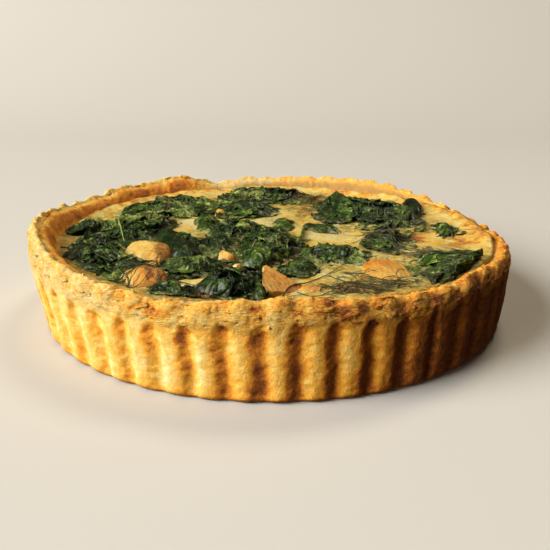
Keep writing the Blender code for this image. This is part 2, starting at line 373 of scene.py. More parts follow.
# The wall unrolled, so that the thin layers run along it
layer_place = np.stack(
    [
        np.radians(angle) * WALL_REACH / LAYER_LONG,
        (spots[:, 2] + 1.0 * MM * lumps(spots, 8 * MM, 11)) / LAYER_THICK,
        reach / (9 * MM),
    ],
    1,
)
layers = lumps(layer_place, 1.0, 12)
torn = 1 - eased(0.0, 0.20, np.abs(layers))
torn = torn * eased(-0.15, 0.35, lumps(spots, 11 * MM, 13))
swell = (
    (0.14 + 0.10 * rim_band) * coarse
    + (0.12 + 0.08 * rim_band) * middling
    + (0.12 + 0.14 * rim_band) * fine
    - 0.30 * pits
    - 0.50 * torn * outer_rim
    + 0.22 * eased(-0.1, 0.1, layers) * outer_rim
)
spots = spots + facing * (swell * MM * rough)[:, None]
spots[:, 2] = np.clip(spots[:, 2], 0, None)
press_into_place(case, spots)

# How far each place is browned, from 0 pale to 1 nearly burnt, with painted shade and painted
# light added in the terms marked below
inner_wall = 1 - eased(110 * MM, 116 * MM, reach)
inner_side = 1 - eased(111 * MM, 116 * MM, reach)
# Painted shade: the wall's right side, turned away from the lamp, is made browner
shaded_right_side = 0.5 + 0.5 * np.sin(np.radians(angle - 20))
patchy = np.clip(0.84 + (0.8 - 0.5 * shaded_right_side) * lumps(spots, 9 * MM, 28), 0, 1.35)
shaded_side = eased(-168, -146, angle) * (1 - eased(-52, -30, angle))
# Painted shade at the top of each groove, under the overhanging rim
shade_under_arch = np.exp(-(((height - arch + 3.5 * MM) / (5 * MM)) ** 2))
# Painted shade over the front right of the wall, beyond where it turns away from the lamp
shade_front_right = eased(15, 34, angle) * (1 - eased(80, 110, angle))
# Painted shade on the wall just under the rim
shade_under_rim = eased(22 * MM, 30 * MM, height) * (1 - rim_band) * outside
# The grooves are browner than the ridges. On the side in front the band is moved onto the side of
# each groove that faces right, away from the lamp, as painted shade, and the lit side is paler,
# as painted light
seen_side = 1 - eased(70, 100, np.abs(angle))
shaded_brown_way = np.radians(flute_way + 45 * seen_side)
brown_and_shade_band = (0.5 + 0.5 * np.cos(shaded_brown_way)) ** 1.5
in_grooves = groove_reach * outside
browning_and_shade = (
    0.03
    # the wall, from its pale left to its darker right, which is painted shade where the wall turns
    # away from the lamp, and its grooves
    + 0.12 * eased(-34, 2, angle)
    + 0.20 * shaded_right_side
    + (0.40 - 0.30 * eased(28 * MM, 35 * MM, height)) * shade_front_right
    + (0.31 + 0.15 * eased(-24, 3, angle) + 0.14 * shaded_right_side + 0.14 * shade_under_arch)
    * brown_and_shade_band * in_grooves * patchy
    # painted shade on the side of each groove away from the lamp, painted light on its lit side
    - 0.07 * np.sin(shaded_brown_way) * seen_side * in_grooves
    # uneven baking, large and small
    + 0.10 * lumps(spots, 14 * MM, 14)
    + 0.07 * lumps(spots, 5 * MM, 15)
    + 0.07 * lumps(spots, 2.2 * MM, 16)
    + 0.05 * coarse
    # the rim: paler than the wall, most of all at the back; the terms that change round it are
    # partly painted light, paler on the left, which faces the lamp, and on the right part whose top
    # catches the light, and partly painted shade, darker with the right side
    + rim_band
    * (
        0.16 * lumps(spots, 7 * MM, 31)
        + 0.05 * eased(-40, 24, angle)
        - 0.07
        - 0.06 * eased(10, 36, angle)
        + 0.05 * shaded_right_side
        - 0.08 * eased(90, 120, np.abs(angle))
    )
    # the inner wall; on the left, which lies in shade, a deep orange-brown that is painted shade,
    # with the warm glow of light bounced into it
    + 0.24 * inner_wall * eased(110, 140, angle)
    + 0.66 * inner_side * shaded_side * eased(34 * MM, 38 * MM, height)
    # the bottom edge
    + 0.10 * (1 - eased(0, 14 * MM, height))
    + 0.16 * (1 - eased(0, 4 * MM, height))
    # torn layers and pits, and painted shade on the faces that turn downwards and on the wall under
    # the rim
    + 0.26 * torn * outer_rim
    + 0.16 * pits
    + 0.45 * np.clip(-facing[:, 2], 0, 0.5) * outside
    + 0.07 * shade_under_rim * eased(-40, -10, angle) * (1 - eased(40, 70, angle))
)
for spot_angle, spot_reach, spot_width in RIM_SPOTS:
    there = spot_reach * MM * out_at(spot_angle)
    there[2] = rim_height(spot_angle) - 0.55 * MM * max(0, spot_reach - 114.5) ** 1.3
    off = np.linalg.norm((spots - there) * (1, 1, 1.3), axis=1) / (spot_width * MM / 1.7)
    off = off + 0.45 * lumps(spots, 2.6 * MM, 17)
    browning_and_shade = browning_and_shade + SPOT_BROWNED * (1 - eased(0.2, 1.4, off)) * rim_band
note(case, "browning_and_shade", np.clip(browning_and_shade, 0, MOST_BROWNED))
note(case, "flaky", outer_rim)
# Moist with custard, and painted shade in the recess under the rim
note(case, "moist_and_shade", inner_wall * (1 - shaded_side))
bpy.ops.object.shade_smooth()


# The grain that all the finishes share: lumps about as wide as Size, from 0 to 1, and a value
# that the lumps raise and lower by up to Change
grain = bpy.data.node_groups.new("grain", "ShaderNodeTree")
for name, kind, usual in (
    ("Size", "NodeSocketFloat", MM),
    ("Detail", "NodeSocketFloat", 3),
    ("Roughness", "NodeSocketFloat", 0.55),
    ("Warp", "NodeSocketFloat", 0),
    ("Stretch", "NodeSocketVector", (1, 1, 1)),
    ("Value", "NodeSocketFloat", 0),
    ("Low", "NodeSocketFloat", 0.3),
    ("High", "NodeSocketFloat", 0.7),
    ("Change", "NodeSocketFloat", 0),
):
    grain.interface.new_socket(name, in_out="INPUT", socket_type=kind).default_value = usual
for name in ("Grain", "Mottled"):
    grain.interface.new_socket(name, in_out="OUTPUT", socket_type="NodeSocketFloat")
given = grain.nodes.new("NodeGroupInput").outputs
put_out = grain.nodes.new("NodeGroupOutput").inputs
place = grain.nodes.new("ShaderNodeMapping")
noise = grain.nodes.new("ShaderNodeTexNoise")
spread = grain.nodes.new("ShaderNodeMapRange")
one_over, minus, added = (grain.nodes.new("ShaderNodeMath") for _ in range(3))
one_over.operation, minus.operation, added.operation = "DIVIDE", "MULTIPLY", "ADD"
one_over.inputs[0].default_value = 1
minus.inputs[1].default_value = -1
for source, target in (
    (grain.nodes.new("ShaderNodeTexCoord").outputs["Object"], place.inputs["Vector"]),
    (given["Stretch"], place.inputs["Scale"]),
    (place.outputs["Vector"], noise.inputs["Vector"]),
    (given["Size"], one_over.inputs[1]),
    (one_over.outputs[0], noise.inputs["Scale"]),
    (given["Detail"], noise.inputs["Detail"]),
    (given["Roughness"], noise.inputs["Roughness"]),
    (given["Warp"], noise.inputs["Distortion"]),
    (noise.outputs["Fac"], put_out["Grain"]),
    (noise.outputs["Fac"], spread.inputs[0]),
    (given["Low"], spread.inputs[1]),
    (given["High"], spread.inputs[2]),
    (given["Change"], minus.inputs[0]),
    (minus.outputs[0], spread.inputs[3]),
    (given["Change"], spread.inputs[4]),
    (given["Value"], added.inputs[0]),
    (spread.outputs[0], added.inputs[1]),
    (added.outputs[0], put_out["Mottled"]),
):
    grain.links.new(source, target)


class Finish:
    """A material, with the ways in which its nodes are laid out and joined."""

    def __init__(self, name):
        self.material = bpy.data.materials.new(name)
        self.material.use_nodes = True
        self.nodes = self.material.node_tree.nodes
        self.links = self.material.node_tree.links

    def fill(self, node, inputs):
        """Sets a node's inputs, by name or number, or joins them to other nodes."""
        for name, value in inputs.items():
            if isinstance(value, bpy.types.NodeSocket):
                self.links.new(value, node.inputs[name])
            else:
                node.inputs[name].default_value = value

    def add(self, kind, inputs, **settings):
        node = self.nodes.new(kind)
        for name, value in settings.items():
            setattr(node, name, value)
        self.fill(node, inputs)
        return node

    def shade(self, inputs):
        """Fills in the material's own shader."""
        self.fill(self.nodes["Principled BSDF"], inputs)

    def noted(self, name):
        return self.add("ShaderNodeAttribute", {}, attribute_name=name).outputs["Fac"]

    def place_grain(self, size, detail=3, roughness=0.55, warp=0.0, **others):
        own = {"Size": size, "Detail": detail, "Roughness": roughness, "Warp": warp, **others}
        return self.add("ShaderNodeGroup", own, node_tree=grain)

    def grain(self, *own, **others):
        return self.place_grain(*own, **others).outputs["Grain"]

    def mottled(self, value, change, *own, **others):
        """A value that a grain raises and lowers, and the grain."""
        node = self.place_grain(*own, Value=value, Change=change, **others)
        return node.outputs["Mottled"], node.outputs["Grain"]

    def sums(self, kind, *values):
        return self.add("ShaderNodeMath", dict(enumerate(values)), operation=kind).outputs[0]

    def span(self, value, low, high, new_low=0.0, new_high=1.0):
        """Stretches low..high of a value to new_low..new_high."""
        ends = {0: value, 1: low, 2: high, 3: new_low, 4: new_high}
        return self.add("ShaderNodeMapRange", ends).outputs[0]

    def ramp(self, value, stops):
        """Colours for a value, through (place, colour) stops."""
        node = self.add("ShaderNodeValToRGB", {"Fac": value})
        while len(node.color_ramp.elements) < len(stops):
            node.color_ramp.elements.new(1)
        for element, (place, colour) in zip(node.color_ramp.elements, stops):
            element.position = place
            element.color = (*colour, 1)
        return node.outputs["Color"]

    def mixed(self, share, first, second):
        """A share of the second colour over the first."""
        inputs = {0: share, 6: first, 7: (*second, 1)}
        return self.add("ShaderNodeMix", inputs, data_type="RGBA").outputs[2]

    def bumped(self, height, depth, before=None):
        inputs = {"Distance": depth, "Height": height}
        if before is not None:
            inputs["Normal"] = before
        return self.add("ShaderNodeBump", inputs).outputs["Normal"]


pastry = Finish("baked shortcrust")
flaky = pastry.noted("flaky")
baked, mottle = pastry.mottled(pastry.noted("browning_and_shade"), 0.10, 2.4 * MM, 4, 0.65)
baked, _ = pastry.mottled(baked, 0.06, 0.8 * MM, 2, 0.5)
thin_layers = pastry.grain(3.4 * MM, 4, 0.65, 0.4, Stretch=(1, 1, 7))
thin_layers = pastry.sums("MULTIPLY", pastry.span(thin_layers, 0.38, 0.66), flaky)
baked = pastry.sums("MULTIPLY_ADD", thin_layers, 0.10, baked)
tears = pastry.grain(2.0 * MM, 4, 0.7, 0.8)
# Painted shade: the hollows of the torn layers on the rim are made browner
painted_hollow_shade = pastry.sums("MULTIPLY", pastry.span(tears, 0.36, 0.56, 0.24, 0.0), flaky)
crust_colour = pastry.ramp(pastry.sums("ADD", baked, painted_hollow_shade), CRUST_COLOURS)
# The inner wall darker: moist with custard, and painted shade
moist_and_shade = pastry.sums("MULTIPLY", pastry.noted("moist_and_shade"), 0.85)
relief = pastry.bumped(pastry.grain(0.9 * MM, 4, 0.7), 0.5 * MM)
relief = pastry.bumped(pastry.sums("MULTIPLY", tears, flaky), 1.15 * MM, relief)
pastry.shade(
    {
        "Base Color": pastry.mixed(moist_and_shade, crust_colour, MOIST_SHADED_CRUST),
        "Normal": pastry.bumped(thin_layers, 0.5 * MM, relief),
        "Roughness": pastry.span(mottle, 0.3, 0.7, 0.5, 0.75),
        "Specular IOR Level": 0.35,
        "Subsurface Weight": 0.28,
        "Subsurface Radius": (0.004, 0.0018, 0.0006),
    }
)
case.data.materials.append(pastry.material)
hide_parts("crust")
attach(case, "root")

# ------------------------------------------------------------------------------------------
# The loose flakes and crumbs of the pastry. Where the rim was trimmed its thin layers stand off
# in rows, and crumbs that broke off cling to the rim, the ridges and the bottom edge.
LOOSE_FLAKES = 230
SINGLE_FLAKES = (  # degrees, mm under the rim, length, height and lift in mm
    (22, 4.5, 4.5, 4.0, 0.7), (20.5, 2.0, 6.0, 1.6, 0.5), (-25, 2.6, 6.5, 1.4, 0.5),
    (4, 5.0, 7.0, 1.4, 0.5), (9, 3.0, 8.0, 1.4, 0.5), (33, 2.2, 7.0, 1.5, 0.5),
    (-8, 5.4, 8.0, 1.4, 0.4), (14, 5.6, 8.0, 1.5, 0.5),
)
FLAKE_RANGES = ((-180, 180), (-0.5, 8.0), (3.0, 7.5), (0.6, 1.6), (0.04, 0.32))  # the same
FLAKES_ON_TOP = 1.5  # mm: a flake less far under the rim lies on top of it
TOP_OF_RIM = 117.0  # mm from the axis
FLAKE_THICK = 0.22 * MM
SMOOTH_SIDE = (24, 80)  # degrees, where only a third of the flakes stick
LOOSE_CRUMBS = 60
BESIDE_IT = 150 * MM  # from the axis, clear of the case
ABOVE_IT = 80 * MM  # over the base, clear of the rim and all that stands in it
CRUMB_SIZES = (0.35, 0.55, 0.8)  # mm
CRUMB_SHARES = (0.5, 0.35, 0.15)

crust_surface = BVHTree.FromObject(case, bpy.context.evaluated_depsgraph_get())
loose_pastry = pastry.material.copy()
loose_pastry.name = "loose shortcrust"
loose_pastry.node_tree.nodes["Principled BSDF"].inputs["Subsurface Weight"].default_value = 0


def met(start, heading, degrees):
    """Where a line meets the case: the place, the way it faces, the way round, its browning and
    painted shade.
    """
    spot, facing, face, _ = crust_surface.ray_cast(Vector(start), Vector(heading))
    corner = case.data.polygons[face].vertices[0]
    browned = case.data.attributes["browning_and_shade"].data[corner].value
    return np.array(spot), np.array(facing), out_at(degrees + 90), browned


def on_the_wall(degrees, height):
    return met(out_at(degrees) * BESIDE_IT + (0, 0, height), -out_at(degrees), degrees)


def on_the_rim(degrees, reach):
    return met(out_at(degrees) * reach + (0, 0, ABOVE_IT), (0, 0, -1), degrees)


def turned(places, degrees):
    """Places turned about +Z."""
    way = math.radians(degrees)
    c, s = math.cos(way), math.sin(way)
    return places @ np.array(((c, s, 0), (-s, c, 0), (0, 0, 1)))


def give_thickness(sheet, thick):
    wall = sheet.modifiers.new("thick", "SOLIDIFY")
    wall.thickness = thick
    bpy.ops.object.modifier_apply(modifier="thick")
    bpy.ops.object.shade_smooth()


def joined(parts):
    """Joins parts into the first of them."""
    bpy.ops.object.select_all(action="DESELECT")
    for part in parts:
        part.select_set(True)
    bpy.context.view_layer.objects.active = parts[0]
    bpy.ops.object.join()
    return bpy.context.object


chance = np.random.default_rng(23)
placed_flakes = list(SINGLE_FLAKES)
while len(placed_flakes) < LOOSE_FLAKES:
    placed_flakes.append(tuple(chance.uniform(*ends) for ends in FLAKE_RANGES))
flakes = []
for number, (degrees, under, long, tall, lift) in enumerate(placed_flakes):
    if SMOOTH_SIDE[0] < degrees < SMOOTH_SIDE[1] and number % 3:
        continue
    if under > FLAKES_ON_TOP:
        found = on_the_wall(degrees, rim_height(degrees) - under * MM)
    else:
        found = on_the_rim(degrees, (TOP_OF_RIM + under - FLAKES_ON_TOP) * MM)
    spot, facing, along, browned = found
    up = np.cross(facing, along)
    up = up * np.sign(up[2] + 1e-9) / np.linalg.norm(up)
    bpy.ops.mesh.primitive_grid_add(x_subdivisions=9, y_subdivisions=2, size=2)
    flake = bpy.context.object
    flake.name = f"flake_{number}"
    grid = places_of(flake)
    u, v = grid[:, 0], grid[:, 1]
    ragged = 1 + 0.9 * lumps(grid * (4.0, 1.0, 1), 1.0, 300 + number)
    wide = np.clip(1.15 - u**2, 0, 1) ** 0.5 * ragged
    # Most flakes hang from their upper edge, and their free edge stands off and is browner
    hangs = 1 if chance.random() < 0.7 else -1
    free_edge = 0.5 - 0.5 * hangs * v
    off = lift * free_edge**1.5 - 0.25 * (1 - free_edge)
    off = off - 0.3 * u**4 + 0.25 * lumps(grid * 1.4, 1.0, 310 + number)
    slant = chance.normal(0, 0.10) * u * long / 2
    upwards = v * wide * tall / 2 + slant
    flat = np.stack([u * long / 2, upwards, off], 1) @ np.stack([along, up, facing])
    press_into_place(flake, spot + flat * MM)
    edge_browned = 0.12 * np.clip(free_edge, 0, 1) ** 2
    note(flake, "browning_and_shade", browned + chance.normal(0, 0.04) + edge_browned)
    note(flake, "flaky", np.full(len(grid), 1.0))
    give_thickness(flake, FLAKE_THICK)
    flakes.append(flake)
crumbs = []
for number in range(LOOSE_CRUMBS):
    degrees = chance.uniform(-180, 180)
    kind = chance.random()
    if kind < 0.75:
        found = on_the_rim(degrees, chance.uniform(111.5, 118) * MM)
    elif kind < 0.85:
        found = on_the_wall(degrees, rim_height(degrees) - chance.uniform(1, 10) * MM)
    else:
        found = on_the_wall(degrees, chance.uniform(0.8, 2.5) * MM)
    spot, facing, _, browned = found
    bpy.ops.mesh.primitive_ico_sphere_add(subdivisions=2, radius=1)
    crumb = bpy.context.object
    crumb.name = f"crumb_{number}"
    ball = places_of(crumb)
    across = chance.uniform(0.5, 1.0, 3)
    across = across * chance.choice(CRUMB_SIZES, p=CRUMB_SHARES) * MM
    ball = turned(ball * (1 + 0.4 * lumps(ball, 0.9, 400 + number))[:, None] * across, degrees)
    press_into_place(crumb, ball + spot + facing * across[2] * 0.3)
    note(crumb, "browning_and_shade", np.full(len(ball), browned + chance.normal(0.02, 0.08)))
    bpy.ops.object.shade_smooth()
    crumbs.append(crumb)
for name, parts in (("pastry_flakes", flakes), ("pastry_crumbs", crumbs)):
    loose = joined(parts)
    loose.name = name
    loose.data.materials.append(loose_pastry)
    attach(loose, "root")

# ------------------------------------------------------------------------------------------
# The salmon. Chunks of skinned fillet laid in before the custard is poured, so that only their
# tops stand out: rounded blocks with pressed faces, split along the flakes of the fish.
CUSTARD_HEIGHT = 36.8 * MM
CUSTARD_CLIMB = 1.9 * MM
CUSTARD_EDGE = 107.5 * MM
SALMON = (  # name, (x, y), (width, depth, rise over the custard) in mm, turn, squareness, baked,
    # pressed faces: (way, lean, depth of the cut)
    ("large", (-58, -43), (26, 22, 6.8), -8, 2.8, 0.24,
     ((-45, 56, 0.34), (88, 30, 0.36), (10, 30, 0.24))),
    ("left", (-55, -77), (21, 16, 5.8), 12, 2.5, 0.42, ((-70, 35, 0.30), (10, 45, 0.25))),
    ("small", (-21, -46), (9, 8, 4.8), 20, 2.4, 0.40, ((-35, 40, 0.25), (110, 55, 0.3))),
    ("peak", (-15, -72), (8, 7, 6.2), -15, 2.4, 0.12, ((-50, 45, 0.25), (60, 45, 0.3))),
    ("front", (5, -84), (20, 26, 8.2), 4, 4.2, 0.34,
     ((-88, 2, 0.12), (153, 4, 0.55), (27, 6, 0.55), (60, 60, 0.81))),
    ("right", (50, -59), (22, 29, 3.0), 8, 2.4, 0.26, ((-25, 60, 0.15), (65, 70, 0.20))),
    ("flat", (17, -85), (13, 10, 1.6), 10, 2.6, 0.44, ((0, 70, 0.1),)),
    ("flake", (32, -87), (14, 9, 1.4), -20, 2.6, 0.42, ((0, 70, 0.1),)),
    ("back", (-30, 41), (8, 7, 3.0), 30, 2.4, 0.50, ((0, 45, 0.2),)),
)
SALMON_SPOTS = (  # mm right, mm back, width in mm, how much more baked
    (46, -55, 17, 0.52), (-50, -77, 13, 0.26), (-47, -40, 11, 0.22), (-20, -45, 6, 0.25),
    (2, -80, 12, 0.12), (18, -86, 9, 0.16),
)
SALMON_COLOURS = (  # from pale flesh to its browned edge
    (0.00, (0.57, 0.45, 0.170)), (0.28, (0.55, 0.34, 0.066)), (0.50, (0.59, 0.26, 0.018)),
    (0.75, (0.50, 0.16, 0.012)), (1.00, (0.22, 0.045, 0.008)),
)
SALMON_FIBRES = (0.66, 0.46, 0.12)
CUSTARD_FILM = (0.41, 0.27, 0.045)
SALMON_SUNK = 7.0 * MM
SALMON_CUTS = 23
SMALL_CUTS = 13
FLESH_FLAKE = 2.6 * MM
SPLIT_DEPTH = 0.28 * MM


def custard_level(x, y):
    """Height that the custard comes to: gentle waves, and an edge that climbs the pastry."""
    flat = np.stack([x, y, np.zeros_like(x)], -1).reshape(-1, 3)
    waves = 0.8 * lumps(flat, 30 * MM, 20) + 0.30 * lumps(flat, 9 * MM, 21)
    edge = np.clip(np.hypot(flat[:, 0], flat[:, 1]) / CUSTARD_EDGE, 0, 1)
    climb = CUSTARD_CLIMB * (1 + 0.6 * lumps(flat, 14 * MM, 33) + 0.4 * lumps(flat, 6 * MM, 34))
    return (CUSTARD_HEIGHT + waves * MM + climb * edge**16).reshape(np.shape(x))


def level_at(x, y):
    """The same for one place."""
    return float(custard_level(np.array([x]), np.array([y]))[0])


def near_spots(places, spots, ragged=0.0):
    """For each (mm right, mm back, width in mm, amount): the amount, fading away from the spot."""
    for x, y, wide, amount in spots:
        off = np.hypot(places[:, 0] - x * MM, places[:, 1] - y * MM) / (wide * MM / 2)
        yield amount * np.exp(-((off + ragged) ** 2))


salmon = Finish("cooked salmon")
flesh, _ = salmon.mottled(salmon.noted("baked"), 0.16, 3 * MM, 3)
fibres = salmon.grain(0.7 * MM, 3, 0.6)
film = salmon.span(salmon.grain(5 * MM, 3, 0.6), 0.32, 0.56)
film = salmon.sums("MULTIPLY", film, salmon.noted("film"))
flesh_colour = salmon.ramp(flesh, SALMON_COLOURS)
flesh_colour = salmon.mixed(salmon.span(fibres, 0.35, 0.65, 0.0, 0.16), flesh_colour, SALMON_FIBRES)
salmon.shade(
    {
        "Base Color": salmon.mixed(film, flesh_colour, CUSTARD_FILM),
        "Normal": salmon.bumped(fibres, 0.35 * MM),
        "Roughness": 0.42,
        "Subsurface Weight": 0.04,
        "Subsurface Radius": (0.003, 0.0012, 0.0006),
    }
)

toppings = []
for number, (name, middle, size, turn, square, done, faces) in enumerate(SALMON):
    half = np.array((size[0], size[1], size[2] + SALMON_SUNK / MM)) * MM / 2
    bpy.ops.object.select_all(action="DESELECT")
    bpy.ops.mesh.primitive_cube_add(size=2)
    chunk = bpy.context.object
    chunk.name = f"salmon_{name}_chunk"
    in_edit_mode("SELECT")
    bpy.ops.mesh.subdivide(number_cuts=SALMON_CUTS if size[0] > 10 else SMALL_CUTS)
    bpy.ops.object.mode_set(mode="OBJECT")
    block = places_of(chunk)
    block /= (np.abs(block) ** square).sum(1)[:, None] ** (1 / square)
    seed = 40 + 7 * number
    block *= (1 + 0.10 * lumps(block, 0.9, seed) + 0.045 * lumps(block, 0.45, seed + 1))[:, None]
    # Each face takes off most of what stands proud of it, and more on a sharply cut chunk
    for way, lean, cut in faces:
        lean = math.radians(lean)
        face = out_at(way) * math.cos(lean) + (0, 0, math.sin(lean))
        proud = np.clip(block @ face - (1.0 - cut), 0, None)
        block -= face * (proud * (0.92 if square > 4 else 0.8))[:, None]
    block *= half
    flakes = turned(block, 25 + 31 * number)[:, 0] + 1.1 * MM * lumps(block, 6 * MM, seed + 2)
    flakes = flakes + 0.25 * block[:, 2]
    split = 1 - eased(0.03, 0.14, np.abs((flakes / FLESH_FLAKE) % 1 - 0.5))
    press_into_place(chunk, block)
    ways = outward(chunk)
    rough = 0.30 * lumps(block, 4.5 * MM, seed + 6) + 0.15 * lumps(block, 2.2 * MM, seed + 3)
    rough = rough + 0.09 * lumps(block, 1.0 * MM, seed + 4)
    block = block + ways * (rough * MM - SPLIT_DEPTH * split)[:, None]
    # Painted shade: a chunk is browner on the side that faces right, away from the lamp
    baked = done + 0.16 * lumps(block, 6 * MM, seed + 5) + 0.32 * ways[:, 0] + 0.12 * split
    at_top = block[:, 2] - half[2] + size[2] * MM
    baked = baked + 0.30 * (1 - eased(0, 2.5 * MM, at_top))
    block = turned(block, turn)
    x, y = middle[0] * MM, middle[1] * MM
    block += np.array((x, y, level_at(x, y) + size[2] * MM - half[2]))
    press_into_place(chunk, block)
    # The less a chunk stands out, the more custard has run over it
    filmed = 1.05 - 0.30 * eased(0.5, 3.0, size[2]) - 0.65 * eased(3.0, 5.0, size[2])
    filmed = filmed + 0.4 * lumps(block, 6 * MM, seed)
    browner = sum(near_spots(block, SALMON_SPOTS))
    note(chunk, "baked", np.clip(baked + browner, 0, 1))
    note(chunk, "film", np.clip(filmed - 2 * browner, 0, 0.9))
    bpy.ops.object.shade_smooth()
    chunk.data.materials.append(salmon.material)
    toppings.append(chunk.name)
    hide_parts(f"salmon_{name}")
    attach(chunk, "root")

# ------------------------------------------------------------------------------------------
# The spinach. Wilted whole leaves, wrung out and laid in heaps among the salmon. Each heap is a
# crumpled mound with thin leaves folded over it, whose edges run down under the custard.
SPINACH = (  # name, its mound: (x, y), (length, width, rise) in mm, turn, its leaves: the same
    ("left_edge", (-96, 6), (24, 13, 3.5), 78, (-98, 6), (40, 17), 80),
    ("left_front", (-81, -38), (46, 25, 4.5), 109, (-79, -39), (72, 40), 110),
    ("left_low", (-63, -60), (27, 11, 1.5), -20, (-69, -64), (46, 20), -34),
    ("left_back", (-69, 9), (52, 32, 3.6), 78, (-75, 9), (76, 40), 84),
    ("back_left", (-62, 55), (60, 23, 4.0), 40, (-58, 49), (74, 36), 32),
    ("back", (-5, 84), (56, 23, 4.0), 0, (-3, 79), (76, 36), 0),
    ("back_middle", (-12, 53), (32, 15, 3.5), -10, (-25, 49), (60, 32), -22),
    ("flap", (-43, -26), (33, 13, 5.0), 110, (-45, -27), (54, 19), 113),
    ("inner", (-27, -25), (23, 12, 4.5), 95, (-28, -28), (50, 24), 95),
    ("middle", (-20, 1), (27, 20, 4.0), 15, (-14, 0), (56, 23), -8),
    ("centre", (-3, -32), (43, 27, 5.5), 82, (-2, -30), (66, 36), 84),
    ("band", (29, -39), (36, 12, 3.0), -4, (29, -42), (48, 26), -10),
    ("back_right", (54, 44), (66, 36, 5.5), -28, (51, 37), (86, 54), -34),
    ("right_middle", (58, -13), (22, 15, 2.5), 65, (56, -15), (48, 22), 74),
    ("right_edge", (91, 4), (16, 8, 2.0), 82, (91, 4), (28, 9), 84),
    ("right_front", (82, -65), (54, 27, 3.4), 102, (84, -67), (80, 44), 102),
    ("front", (-18, -87), (25, 23, 6.0), 0, (-12, -89), (34, 32), 10),
    ("front_left", (-42, -92), (15, 9, 3.0), -25, (-40, -97), (36, 16), -20),
    ("front_middle", (-33, -61), (22, 13, 4.0), 10, (-33, -60), (38, 24), 14),
    ("curl", (12, -62), (16, 11, 3.0), 10, (9, -64), (23, 19), 10),
)
FOLDED_LEAVES = {  # heap: ((x, y), (length, width) in mm, turn, rise of its fold, crumple, tone)
    "flap": (((-47, -25), (56, 20), 113, 6.5, 0.45, 0.20),),
    "centre": (
        ((-4, -46), (36, 20), 72, 6.5, 0.95, 0.50), ((14, -8), (38, 3), 80, 2.4, 0.3, 0.90),
    ),
    "back_right": (
        ((39, 58), (34, 20), 96, 8.2, 0.5, 0.26), ((82, 52), (30, 10), 100, 6.0, 0.5, 0.18),
        ((24, 9), (27, 13), -38, 2.2, 0.9, 0.32),
    ),
    "front": (
        ((-7, -88), (34, 6), 100, 5.5, 0.7, 0.44), ((-12, -85), (32, 21), 60, 7.0, 1.5, 0.08),
    ),
    "left_back": (
        ((-71, 17), (44, 20), 76, 5.2, 0.9, 0.62), ((-76, 38), (34, 18), 62, 4.4, 0.9, 0.50),
    ),
    "middle": (
        ((6, 14), (30, 14), 82, 2.2, 0.8, 0.50), ((-36, 20), (42, 15), 100, 3.2, 0.9, 0.44),
    ),
    "right_front": (
        ((80, -60), (34, 18), 96, 3.0, 1.5, 0.24), ((94, -49), (17, 10), 48, 2.4, 1.6, 0.40),
        ((90, -61), (18, 10), 66, 2.8, 1.6, 0.26), ((82, -72), (18, 10), 40, 2.6, 1.6, 0.36),
        ((74, -81), (15, 9), 52, 2.0, 1.6, 0.28),
    ),
    "right_edge": (((91, 4), (24, 7), 96, 3.0, 0.5, 0.40),),
}
LEAF_CELL = 0.76 * MM
LEAF_THICK = 0.35 * MM
LEAF_LAYERS = 2.3
LEAF_AREA = 300  # square mm
LEAF_DEALT = 2.4  # radians from one leaf of a heap to the next, like seeds in a sunflower
OVAL_SHARE = 0.785  # of its box
LEAF_COLOURS = (  # from the near-black of the creases, which is partly painted shade, to the pale veins and stalks
    (0.00, (0.003, 0.007, 0.002)), (0.28, (0.007, 0.019, 0.003)), (0.52, (0.026, 0.062, 0.007)),
    (0.76, (0.095, 0.160, 0.020)), (1.00, (0.340, 0.380, 0.105)),
)
LEAF_FILM = (0.42, 0.38, 0.14)
# Painted shade: the near-black that the leaves turn where they lie deep in a heap
LEAF_HOLLOW_SHADE = (0.003, 0.008, 0.002)
LEAF_TONES = (  # mm right, mm back, width in mm, how much brighter or darker the leaves are
    (-72, 20, 34, 0.30), (-4, -44, 18, 0.22), (14, -8, 14, 0.30), (-28, -84, 12, 0.10),
    (-35, -100, 12, 0.35), (-44, -24, 20, -0.22), (-28, -28, 20, -0.18), (40, 50, 26, -0.10),
    (-85, -40, 24, -0.08), (-22, 4, 18, -0.05), (-16, -88, 26, -0.20), (10, 25, 20, 0.15),
    (78, -55, 50, 0.02), (-42, 58, 24, 0.10), (-75, -48, 12, 0.22), (-5, 88, 20, -0.06),
)
FOLDS = (  # how wide and how deep
    (13 * MM, 2.3 * MM), (6.0 * MM, 2.1 * MM), (3.2 * MM, 1.5 * MM), (1.9 * MM, 0.6 * MM),
)
HOLLOW_CELL = 1.5 * MM
LEAF_REACH = 101  # mm from the axis, where the crust begins to press the leaves back
LEAF_GIVE = 5.6  # mm that they still reach beyond it


def flat_leaf(name, length, width, seed):
    """A leaf lying flat: a grid drawn in to an uneven leaf's outline."""
    along = max(8, round(length / LEAF_CELL))
    across = max(6, round(width / LEAF_CELL))
    bpy.ops.object.select_all(action="DESELECT")
    bpy.ops.mesh.primitive_grid_add(x_subdivisions=along, y_subdivisions=across, size=2)
    leaf = bpy.context.object
    leaf.name = name
    grid = places_of(leaf)
    u, v = grid[:, 0], grid[:, 1]
    ripple = 1 + 0.16 * lumps(np.stack([u * 2.3, v * 0 + np.sign(v), u * 0], 1), 1.0, seed)
    wide = np.maximum(np.clip(1 - np.abs(u) ** 2.2, 0, 1) ** 0.5 * ripple, 0.02)
    return leaf, np.stack([u * length / 2 * ripple, v * wide * width / 2, u * 0], 1), u, v


